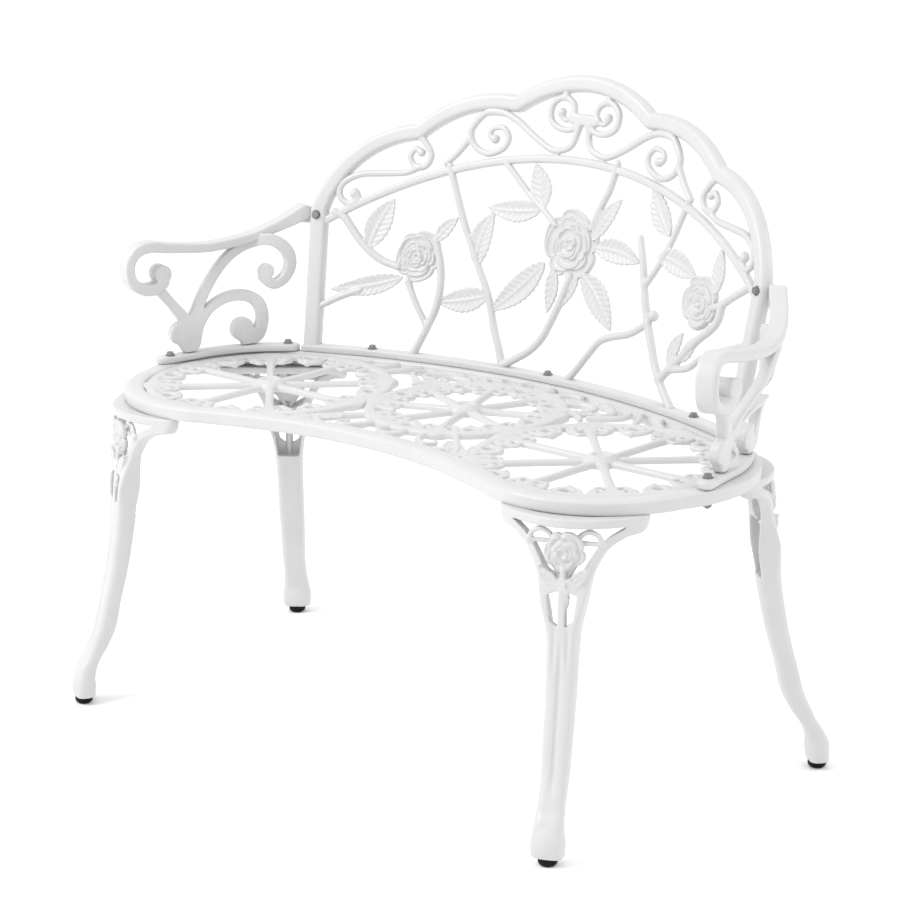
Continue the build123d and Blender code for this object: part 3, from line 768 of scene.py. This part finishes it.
def make_back_work():
    """The crest scrolls, the arch, and the rose sprays that fill the back."""
    crest = Casting((-384, 590, -10), (384, 822, 12), 1.35)
    arch = arc((-376, 604), (0, 717), (376, 604), 60)
    bar(crest, arch, 5.8, 3.0, 4.0, 1.5, -5.0)
    for scroll in crest_scrolls:
        for points in (scroll, mirrored(scroll)):
            rod(crest, points)
    band(crest, [(-20, 771, 7), (0, 771, 8), (20, 771, 7)], 5.0, -5.0)
    for side in (-1, 1):
        ball(crest, (side * 142, 733), 6.5)
        ball(crest, (side * 339, 645), 6.5)
        ball(crest, (side * 251, 706), 5.5)
        ball(crest, (side * 40, 778), 6)
    piece("back_crest", crest.surface(), to_back, ["back"], flip=True)
    spray = Casting((-384, 424, -14), (384, 732, 14), 1.35)
    for points in stems:
        rod(spray, [(u, v, radius + PAINT_COAT) for u, v, radius in points])
    for base, tip, width, bend in leaves:
        leaf(spray, base, tip, width, bend)
    ball(spray, (174, 541), 7.5)
    piece("back_spray", spray.surface(), to_back, ["back"], flip=True)
    for name, x, z, radius, turn in roses:
        bloom = Casting((x - radius - 5, z - radius - 5, -9), (x + radius + 5, z + radius + 5, 16), 0.85)
        rose(bloom, (x, z), radius, turn)
        piece(f"back_rose_{name}", bloom.surface(1), to_back, ["back"], flip=True)


# --- Arms -------------------------------------------------------------------------------------

ARM_HEADING = radians(72.5)
ARM_LINE = (444.7, -130.9)
ARM_BOW = (0.727, 0.687)  # the direction in plan in which the right arm bulges
ARM_SAG = 0.28  # how far the arm drops for each millimetre that it bulges
RAIL_WIDENING = 0.14  # the extra share of width at the rail's front end
POST_BOLT = (385, 613)
EAR_GAP = 9.0  # from the back's bolt line to the ear's front face
ARM_STRIP = [(472, -268, 11), (466, -236, 11), (456, -186, 11), (432, -137, 11), (392, -96, 11)]

# Along the arm, rearwards from its middle point: how far the rail and the scrolls bulge outwards
rail_bow = curve(
    [(-190, 0), (-160, 0), (-110, 12), (-60, 21), (-20, 22), (20, 16), (55, 6), (84, -5), (100, -10)]
)
scroll_bow = curve(
    [(-190, -2), (-150, 2), (-100, 12), (-50, 22), (-15, 24), (8, 18), (30, 2), (60, -12), (80, -18)]
)
FOOT_BOW = -12  # the scrolls stand on the strip, which lies inside the arm's line

# In the arm's plane: distance behind its middle point, height, and half width
arm_rail = [
    (88, 613, 11), (64, 604, 9), (40, 597, 7.5), (0, 587, 6.5), (-60, 581, 6.5), (-120, 585, 7),
    (-150, 589, 7.5), (-170, 584, 7.5), (-181, 570, 7), (-182, 552, 7), (-174, 537, 7.5),
    (-158, 529, 8), (-143, 530, 8), (-132, 537, 7.5),
]
arm_strut = [(-138, 528, 7.5), (-118, 504, 7), (-94, 474, 9)]
arm_upper_scroll = [
    (-88, 462, 8), (-74, 504, 7.5), (-52, 540, 7), (-26, 566, 7), (4, 579, 7.5), (36, 579, 8.2),
    (60, 563, 8.6), (68, 541, 8.2), (58, 521, 7.5), (40, 514, 7), (26, 525, 7),
]
arm_lower_scroll = [
    (-82, 462, 7.5), (-62, 490, 7), (-34, 504, 7.5), (-6, 504, 8.5), (15, 491, 9), (22, 468, 8.5),
    (14, 446, 10), (-2, 441, 12),
]
arm_base = [(-80, 484, 10), (-88, 464, 16), (-92, 446, 16)]
arm_lobes = [(30, 534, 11), (-10, 455, 17), (-106, 460, 16)]


def arm_point(side, s, z, outward, bow):
    """From the right or left arm's plane, bulging outwards by bow, to the bench."""
    x = ARM_LINE[0] - cos(ARM_HEADING) * s + sin(ARM_HEADING) * outward + ARM_BOW[0] * bow
    y = ARM_LINE[1] + sin(ARM_HEADING) * s + cos(ARM_HEADING) * outward + ARM_BOW[1] * bow
    return np.column_stack([side * x, y + rail_y, z - ARM_SAG * bow])


def make_arm(hand, side):
    """One arm: its rail, its scrolls, the strip it stands on, and the ear behind the post."""
    name = f"arm_{hand}"
    rail = Casting((-198, 515, -15), (104, 628, 15), 1.3)
    band(rail, arm_rail, 12, -12, bevel=2.5)
    disc(rail, (-133, 549), 13, 11, -11, 2.0)

    def to_rail(points):
        s, z, outward = points.T
        widening = 1 + RAIL_WIDENING * np.clip((-s - 90) / 60, 0, 1)
        return arm_point(side, s, z, outward * widening, np.interp(s, *rail_bow.T))

    piece(f"{name}_rail", rail.surface(), to_rail, [name], flip=side > 0)

    web = Casting((-150, 432, -12), (84, 596, 12), 1.3)
    for points in (arm_strut, arm_upper_scroll, arm_lower_scroll, arm_base):
        band(web, points, 7, -7, bevel=2.0)
    band(web, [(-6, 580, 8), (8, 582, 8), (20, 583, 7)], 7, -7, bevel=2.0)
    for along, height, radius in arm_lobes:
        disc(web, (along, height), radius, 6.5, -6.5, 1.5)

    def to_web(points):
        s, z, outward = points.T
        bow = np.interp(s, *scroll_bow.T)
        rise = np.clip((z - 450) / 105, 0, 1)
        rise = rise * rise * (3 - 2 * rise)
        return arm_point(side, s, z, outward, FOOT_BOW + (bow - FOOT_BOW) * rise)

    piece(f"{name}_scrolls", web.surface(), to_web, [name], flip=side > 0)

    strip = Casting((372, -284, -3), (488, -80, 14), 1.5)
    band(strip, ARM_STRIP, 10, 0, bevel=1.2)
    piece(f"{name}_strip", strip.surface(), at_height(seat_top, side), [name], flip=side < 0)

    ear = Casting((-16, -15, -2), (42, 15, 8), 1.3)

    def plate(u, v, w):
        sides = smooth_min(12.0 - np.abs(v), 25.0 - np.abs(u - 13), 8)
        return smooth_min(sides, smooth_min(w, 6.0 - w, 1.2), 1.2)

    ear.add((-20, -20, -5), (50, 20, 10), plate)
    x, z = side * POST_BOLT[0], POST_BOLT[1]
    normal = Vector((x / sqrt(BOW_RADIUS**2 - x**2), 1, -LEAN_SLOPE)).normalized()
    across = Vector((side * normal.y, -side * normal.x, 0)).normalized()
    y = rail_y - BOW_RADIUS + sqrt(BOW_RADIUS**2 - x**2) + LEAN_SLOPE * (z - strip_top)
    turn = np.array([across, normal.cross(across), normal])
    origin = np.array([x, y, z]) + EAR_GAP * np.array(normal)
    place = lambda points: points @ turn + origin
    piece(f"{name}_ear", ear.surface(), place, [name])


# --- Legs -------------------------------------------------------------------------------------

FRONT_FOOT, REAR_FOOT = (414, -485), (470, -20)
FRONT_FACING, REAR_FACING = radians(-65.5), radians(50)
LEG_BOTTOM, FLANGE_BOTTOM, FLANGE_TOP = 10.3, 396.0, 405.7
BRACKET_DEPTH = 16
FLANGE_BACK = 118
REAR_SHIFT = 8.5  # the rear legs lean this much further inwards at the top,
FLANGE_REACH = 17  # and the back edge of their flanges lies this much further in

# In a leg's own frame: distance inwards from the foot's axis, or half width, and height
leg_front = curve(
    [
        (-13, 10.3), (-12.5, 22), (-11, 35), (-6, 52), (3, 66), (9, 80), (20, 106), (29, 143),
        (40, 190), (49, 250), (54, 310), (57, 350), (62, 402),
    ]
)
leg_back = curve(
    [
        (13, 10.3), (14, 25), (15, 42), (23, 62), (35, 80), (47, 106), (55, 143), (67, 190), (78, 250),
        (82, 290), (84, 320), (88, 350), (98, 402),
    ]
)
leg_side = curve(
    [
        (19.5, 10.3), (20.5, 20), (20, 32), (17.6, 55), (16.4, 80), (17, 110), (18, 150), (18.5, 198),
        (19.2, 250), (22, 280), (27, 305), (34, 338), (43, 358), (53, 372), (70, 383), (86, 387),
        (90, 402),
    ]
)
half_window = [(0, 333), (12, 336), (21, 341), (29, 356), (39, 373), (50, 384), (62, 391), (74, 397)]
leg_window = np.array(half_window + mirrored(half_window)[:0:-1], float)
bracket_arch = [(44, 376, 3.6), (41, 386, 3.2), (30, 391, 3.2), (19, 386, 3.2), (15, 378, 3.4)]
bracket_tie = [(22, 377, 3), (38, 377, 2.8), (47, 378, 3)]
leg_slot = np.array([(4.5, 320), (18, 315), (14, 284), (4.5, 277)], float)


def bracket_front(u):
    """How far in the bracket's bowed front lies, at u across."""
    return 60 + 43 * (u / 88) ** 2


def bump_between(v, start, end, slope):
    """1 between two heights, falling to 0 outside them."""
    return np.clip((v - start) / slope, 0, 1) * np.clip((end - v) / slope, 0, 1)


def leg_body(u, v, w):
    """The shaft, growing into the two horns of the bracket."""
    front, back, half = (np.interp(v, line[:, 1], line[:, 0]) for line in (leg_front, leg_back, leg_side))
    flare = np.clip((v - 300) / 55, 0, 1)
    flare = flare * flare * (3 - 2 * flare)
    front = front + (bracket_front(u) - front) * flare
    back = back + (bracket_front(u) + BRACKET_DEPTH - back) * flare
    valley = 2.2 * np.exp(-((u / 3.0) ** 2)) * bump_between(v, 70, 266, 30)
    flutes = 2.0 * np.exp(-(((np.abs(u) - 8.5) / 2.6) ** 2)) * bump_between(v, 215, 290, 30)
    depth = smooth_min(-w - front - valley - flutes, back + w, 4)
    blend = 4 + 7 * np.clip((300 - v) / 30, 0, 1)
    near = np.maximum(blend - np.abs(half - np.abs(u) - depth), 0)
    body = np.minimum(half - np.abs(u), depth) - near * near / (4 * blend)
    return smooth_min(smooth_min(body, v - LEG_BOTTOM, 3), FLANGE_TOP - v, 1.5)


def leg_foot(u, v, w):
    """The swelling at the bottom."""
    return smooth_min(20.5 - np.sqrt(u**2 + 0.8 * (v - 27) ** 2 + 1.7 * w**2), v - LEG_BOTTOM, 2)


def leg_flange(u, v, w):
    """The plate under the seat, with a bowed front edge."""
    inward = smooth_min(-w - bracket_front(u), FLANGE_BACK + w, 4)
    corner = 88 + FLANGE_BACK * 0.62 + 0.62 * w - np.abs(u)
    sides = smooth_min(90 - np.abs(u), corner, 4)
    return smooth_min(smooth_min(inward, sides, 6), smooth_min(v - FLANGE_BOTTOM, FLANGE_TOP - v, 1.5), 1.5)


def leg_hollow(u, v, w):
    """The shaft's hollow back, behind the two slots."""
    front, half = (np.interp(v, line[:, 1], line[:, 0]) for line in (leg_front, leg_side))
    return smooth_min(
        smooth_min(half - 5 - np.abs(u), -w - front - 9, 3),
        smooth_min(v - 262, 332 - v, 3),
        3,
    )


def below_foot(u, v, w):
    """Everything under the flat bottom of the foot."""
    return LEG_BOTTOM - v + 0 * (u + w)


def stud_hole(u, v, w):
    """The hole in the foot for the glide's stud."""
    return smooth_min(4.9 - np.hypot(u, w), 46 - v, 1)


def opening(outline):
    """A field that is positive inside an outline, for cutting through the bracket."""

    def shape(u, v, w):
        gap, _ = nearest(np.vstack([outline, outline[:1]]), u, v, 12)
        return np.where(enclosed(outline, u, v), gap, -gap) + 0 * w

    return shape


def make_legs():
    """The four legs: one casting, placed at each corner, the rear ones leaning further in."""
    casting = Casting((-94, 8, -124), (94, 408, 16), 1.4)
    casting.add((-110, 0, -150), (110, 420, 40), leg_body)
    casting.cut((-80, 328, -150), (80, 400, 20), opening(leg_window), 1.5)
    casting.cut((-40, 258, -150), (40, 336, 0), leg_hollow, 2)
    casting.add((-110, 390, -150), (110, 410, 0), leg_flange, 3)
    casting.add((-26, 6, -26), (26, 52, 24), leg_foot, 3)
    casting.cut((-30, 0, -30), (30, 14, 30), below_foot, 0)
    casting.cut((-8, 0, -8), (8, 50, 8), stud_hole, 0.2)
    for side in (-1, 1):
        casting.cut((-22, 272, -150), (22, 324, 20), opening(leg_slot * (side, 1)), 1.5)
        for line in (bracket_arch, bracket_tie):
            rod(casting, [(side * u, v, radius) for u, v, radius in line], -71, blend=2)
        rod(casting, [(side * 4, 336, 3.2), (side * 13, 350, 3), (side * 15, 362, 3)], -67)
        leaf(casting, (side * 2, 324), (side * 31, 349), 15, side * -2, depth=-59, thickness=8)
    rod(casting, [(0, 346, 3.6), (0, 322, 4), (0, 280, 4.5), (0, 256, 3)], -61)
    leaf(casting, (3, 330), (-4, 282), 12, 2, depth=-57, thickness=8)
    rose(casting, (0, 366), 26, 0.4, 12, -68, rings=5)
    surface = casting.surface(1)
    for end, spot, facing in (("front", FRONT_FOOT, FRONT_FACING), ("rear", REAR_FOOT, REAR_FACING)):
        for hand, side in (("left", -1), ("right", 1)):
            inward = np.array([-side * cos(facing), -sin(facing), 0])
            across = np.array([inward[1], -inward[0], 0])
            turn = np.array([across, [0, 0, 1], -inward])
            origin = np.array([side * spot[0], rail_y + spot[1], 0])

            def place(points):
                along, up = -points[:, 2], points[:, 1]
                shift = REAR_SHIFT * (up - LEG_BOTTOM) / (FLANGE_TOP - LEG_BOTTOM)
                at_flange = np.clip((along - 78) / 36, 0, 1) * np.clip((up - 386) / 9, 0, 1)
                shift += (FLANGE_REACH - REAR_SHIFT) * at_flange
                return points @ turn + origin + (shift * (end == "rear"))[:, None] * inward

            piece(f"leg_{end}_{hand}", surface, place, [f"leg_{end}_{hand}"])


make_seat_rim()
make_seat_lattice()
make_back_rim()
make_back_rail()
make_back_work()
for hand, side in (("left", -1), ("right", 1)):
    make_arm(hand, side)
make_legs()

# --- Stage, light and camera ------------------------------------------------------------------


def soft_light(name, place, aim, size, power):
    """A large square light aimed at a point."""
    data = bpy.data.lights.new(name, "AREA")
    data.size = size
    data.energy = power
    light = bpy.data.objects.new(name, data)
    light.location = place
    light.rotation_euler = (Vector(aim) - Vector(place)).to_track_quat("-Z", "Y").to_euler()
    bpy.context.collection.objects.link(light)


FLOOR_CORNERS = [(-30, -12, 0), (30, -12, 0), (30, 60, 0), (-30, 60, 0)]
floor_mesh = bpy.data.meshes.new("floor")
floor_mesh.from_pydata(FLOOR_CORNERS, [], [(0, 1, 2, 3)])
floor = bpy.data.objects.new("floor", floor_mesh)
bpy.context.collection.objects.link(floor)
floor_paint, tree, shader, place = node_material("pale_floor")
tree.links.new(
    blend_colours(tree, noise(tree, place, 0.5), (0.93, 0.93, 0.93), (0.96, 0.96, 0.96)),
    shader.inputs["Base Color"],
)
shader.inputs["Roughness"].default_value = 0.9
floor_mesh.materials.append(floor_paint)

world = bpy.data.worlds.new("studio")
world.use_nodes = True
world.node_tree.nodes["Background"].inputs["Color"].default_value = (1, 1, 1, 1)
world.node_tree.nodes["Background"].inputs["Strength"].default_value = 1.05
bpy.context.scene.world = world
soft_light("key", (-1.6, -2.6, 3.2), (0, 0, 0.45), 2.0, 98)
soft_light("rim", (2.8, 1.8, 2.4), (0, 0, 0.5), 1.6, 30)

CAMERA_LENS, CAMERA_SENSOR = 116.72, 36
CAMERA_PLACE = (2.4724, -2.9126 + rail_y * MM, 1.3895)
CAMERA_TURN = (42.3157, 15.5018, -0.3416)  # yaw, pitch and roll in degrees
scene = bpy.context.scene
scene.view_settings.view_transform = "Standard"
camera_data = bpy.data.cameras.new("camera")
camera_data.lens, camera_data.sensor_width = CAMERA_LENS, CAMERA_SENSOR
camera = bpy.data.objects.new("camera", camera_data)
bpy.context.collection.objects.link(camera)
yaw, pitch, roll = (radians(angle) for angle in CAMERA_TURN)
forward = Vector((-sin(yaw) * cos(pitch), cos(yaw) * cos(pitch), -sin(pitch)))
right = forward.cross(Vector((0, 0, 1))).normalized()
up = right.cross(forward)
turned_right = right * cos(roll) + up * sin(roll)
turned_up = up * cos(roll) - right * sin(roll)
aim = Matrix((turned_right, turned_up, -forward)).transposed().to_4x4()
camera.matrix_world = Matrix.Translation(CAMERA_PLACE) @ aim
scene.camera = camera
